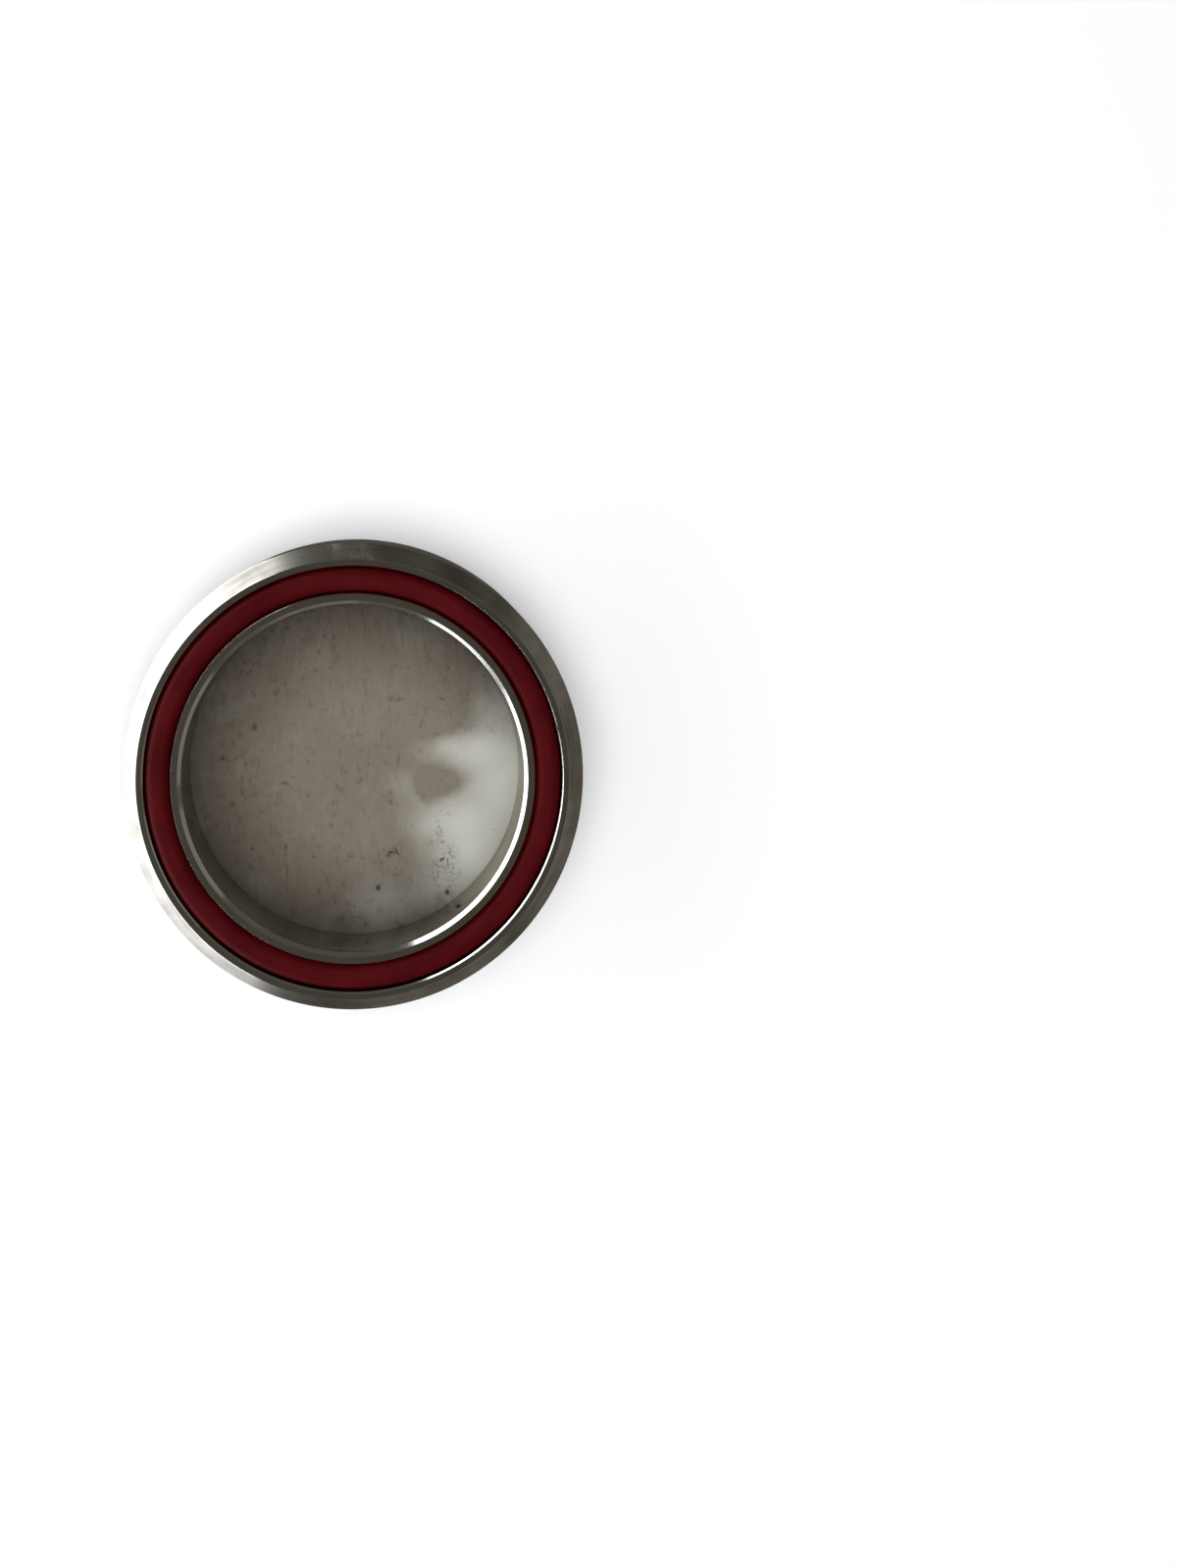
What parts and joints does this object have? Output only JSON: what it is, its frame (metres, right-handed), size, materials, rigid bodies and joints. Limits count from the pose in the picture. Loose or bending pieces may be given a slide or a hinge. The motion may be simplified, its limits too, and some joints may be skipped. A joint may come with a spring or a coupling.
{
  "type": "sight glass",
  "caption": "Round metal-fused sight glass: a stainless ring with a flat glass window fused in its bore, a shouldered rim, a conical mouth and a red O-ring in a groove in each face.",
  "frame": {"origin": "on the axis, at the level the part rests on, which is the crown of the lower O-ring, 0.25 mm below the steel's lower face", "axes": "+Z along the axis, out of the shouldered face; X and Y are any two directions across it, because the part is the same all round"},
  "size_m": [0.1, 0.1, 0.0205],
  "materials": {
    "steel": "fine turned stainless steel, satin",
    "glass": "clear fused borosilicate glass, lightly used",
    "seal": "dark red silicone rubber, satin"
  },
  "bodies": {
    "root": {"body_ring": "steel", "glass_window": "glass", "upper_seal": "seal", "lower_seal": "seal"}
  },
  "joints": []
}
